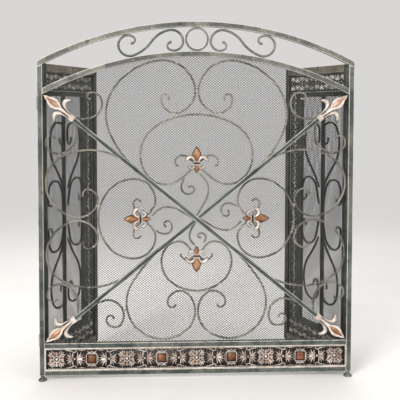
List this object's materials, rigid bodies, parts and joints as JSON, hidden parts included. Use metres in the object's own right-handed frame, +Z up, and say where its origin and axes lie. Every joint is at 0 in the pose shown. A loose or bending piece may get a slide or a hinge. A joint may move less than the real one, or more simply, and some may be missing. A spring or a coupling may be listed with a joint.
{
  "type": "fireplace screen",
  "caption": "Folding fireplace screen: arched middle panel with scrollwork and relief band over wire mesh, and hinged side wings.",
  "frame": {"origin": "on the floor, below the middle of the whole screen's bounding box", "axes": "+Z up; -Y towards the room, the side that the arched front panel faces; +X to the viewer's right"},
  "size_m": [0.809, 0.254, 0.912],
  "materials": {
    "frame_paint": "antique verdigris and pewter paint, rubbed through at the edges",
    "arch_paint": "silver grey antique paint",
    "rail_bronze": "tan and brown antique paint",
    "bar_paint": "dark teal paint with pale worn edges",
    "scroll_paint": "dark pewter paint with verdigris patches",
    "relief_pewter": "black ground with rubbed rose silver relief",
    "border_silver": "rubbed silver beading",
    "mesh_black": "black woven wire",
    "strip_bronze": "dark bronze with light rubbed spots",
    "fleur_cream": "cream and silver rose leaf over cast metal",
    "fleur_copper": "copper leaf over cast metal",
    "hinge_steel": "dark paint worn to steel",
    "pin_steel": "plain steel pin",
    "weld": "pale ground weld"
  },
  "bodies": {
    "front_panel": {"left_post": "frame_paint", "right_post": "frame_paint", "outer_arch": "arch_paint", "inner_arch": "arch_paint", "upper_base_rail": "frame_paint", "lower_base_rail": "frame_paint", "frieze_panel": "relief_pewter", "frieze_border": "border_silver", "front_mesh": "mesh_black", "long_diagonal_bar": "bar_paint", "upper_diagonal_bar": "bar_paint", "lower_diagonal_bar": "bar_paint", "bar_collars": "fleur_cream", "upper_corner_fleurs": "fleur_cream", "lower_corner_fleurs": "fleur_copper", "top_fleur": "fleur_copper", "bottom_fleur": "fleur_copper", "side_fleurs": "fleur_cream", "crest_ring": "arch_paint", "crest_scrolls": "arch_paint", "top_scrolls": "scroll_paint", "top_oval": "scroll_paint", "side_ovals": "scroll_paint", "bottom_oval": "scroll_paint", "centre_curls": "scroll_paint", "centre_ties": "scroll_paint", "bottom_scrolls": "scroll_paint", "base_curls": "scroll_paint", "side_loops": "scroll_paint", "shoulder_curls": "scroll_paint", "post_curls": "scroll_paint", "front_feet": "frame_paint", "front_knuckles": "hinge_steel", "hinge_pins": "pin_steel", "weld_beads": "weld"},
    "left_wing": {"left_near_stile": "frame_paint", "left_far_stile": "frame_paint", "left_top_rail": "rail_bronze", "left_bottom_rail": "rail_bronze", "left_pierced_strips": "strip_bronze", "left_inner_frame": "frame_paint", "left_mesh": "mesh_black", "left_centre_bar": "bar_paint", "left_teardrops": "scroll_paint", "left_hooked_loops": "scroll_paint", "left_foot": "frame_paint", "left_knuckles": "hinge_steel"},
    "right_wing": {"right_near_stile": "frame_paint", "right_far_stile": "frame_paint", "right_top_rail": "rail_bronze", "right_bottom_rail": "rail_bronze", "right_pierced_strips": "strip_bronze", "right_inner_frame": "frame_paint", "right_mesh": "mesh_black", "right_centre_bar": "bar_paint", "right_teardrops": "scroll_paint", "right_hooked_loops": "scroll_paint", "right_foot": "frame_paint", "right_knuckles": "hinge_steel"}
  },
  "joints": [
    {"name": "left_wing_hinge", "type": "hinge", "parent": "front_panel", "child": "left_wing", "pos_m": [-0.4, -0.10425, 0.45], "axis": [0, 0, 1], "range_deg": [-23, 117]},
    {"name": "right_wing_hinge", "type": "hinge", "parent": "front_panel", "child": "right_wing", "pos_m": [0.4, -0.10425, 0.45], "axis": [0, 0, 1], "range_deg": [-117, 23]}
  ]
}
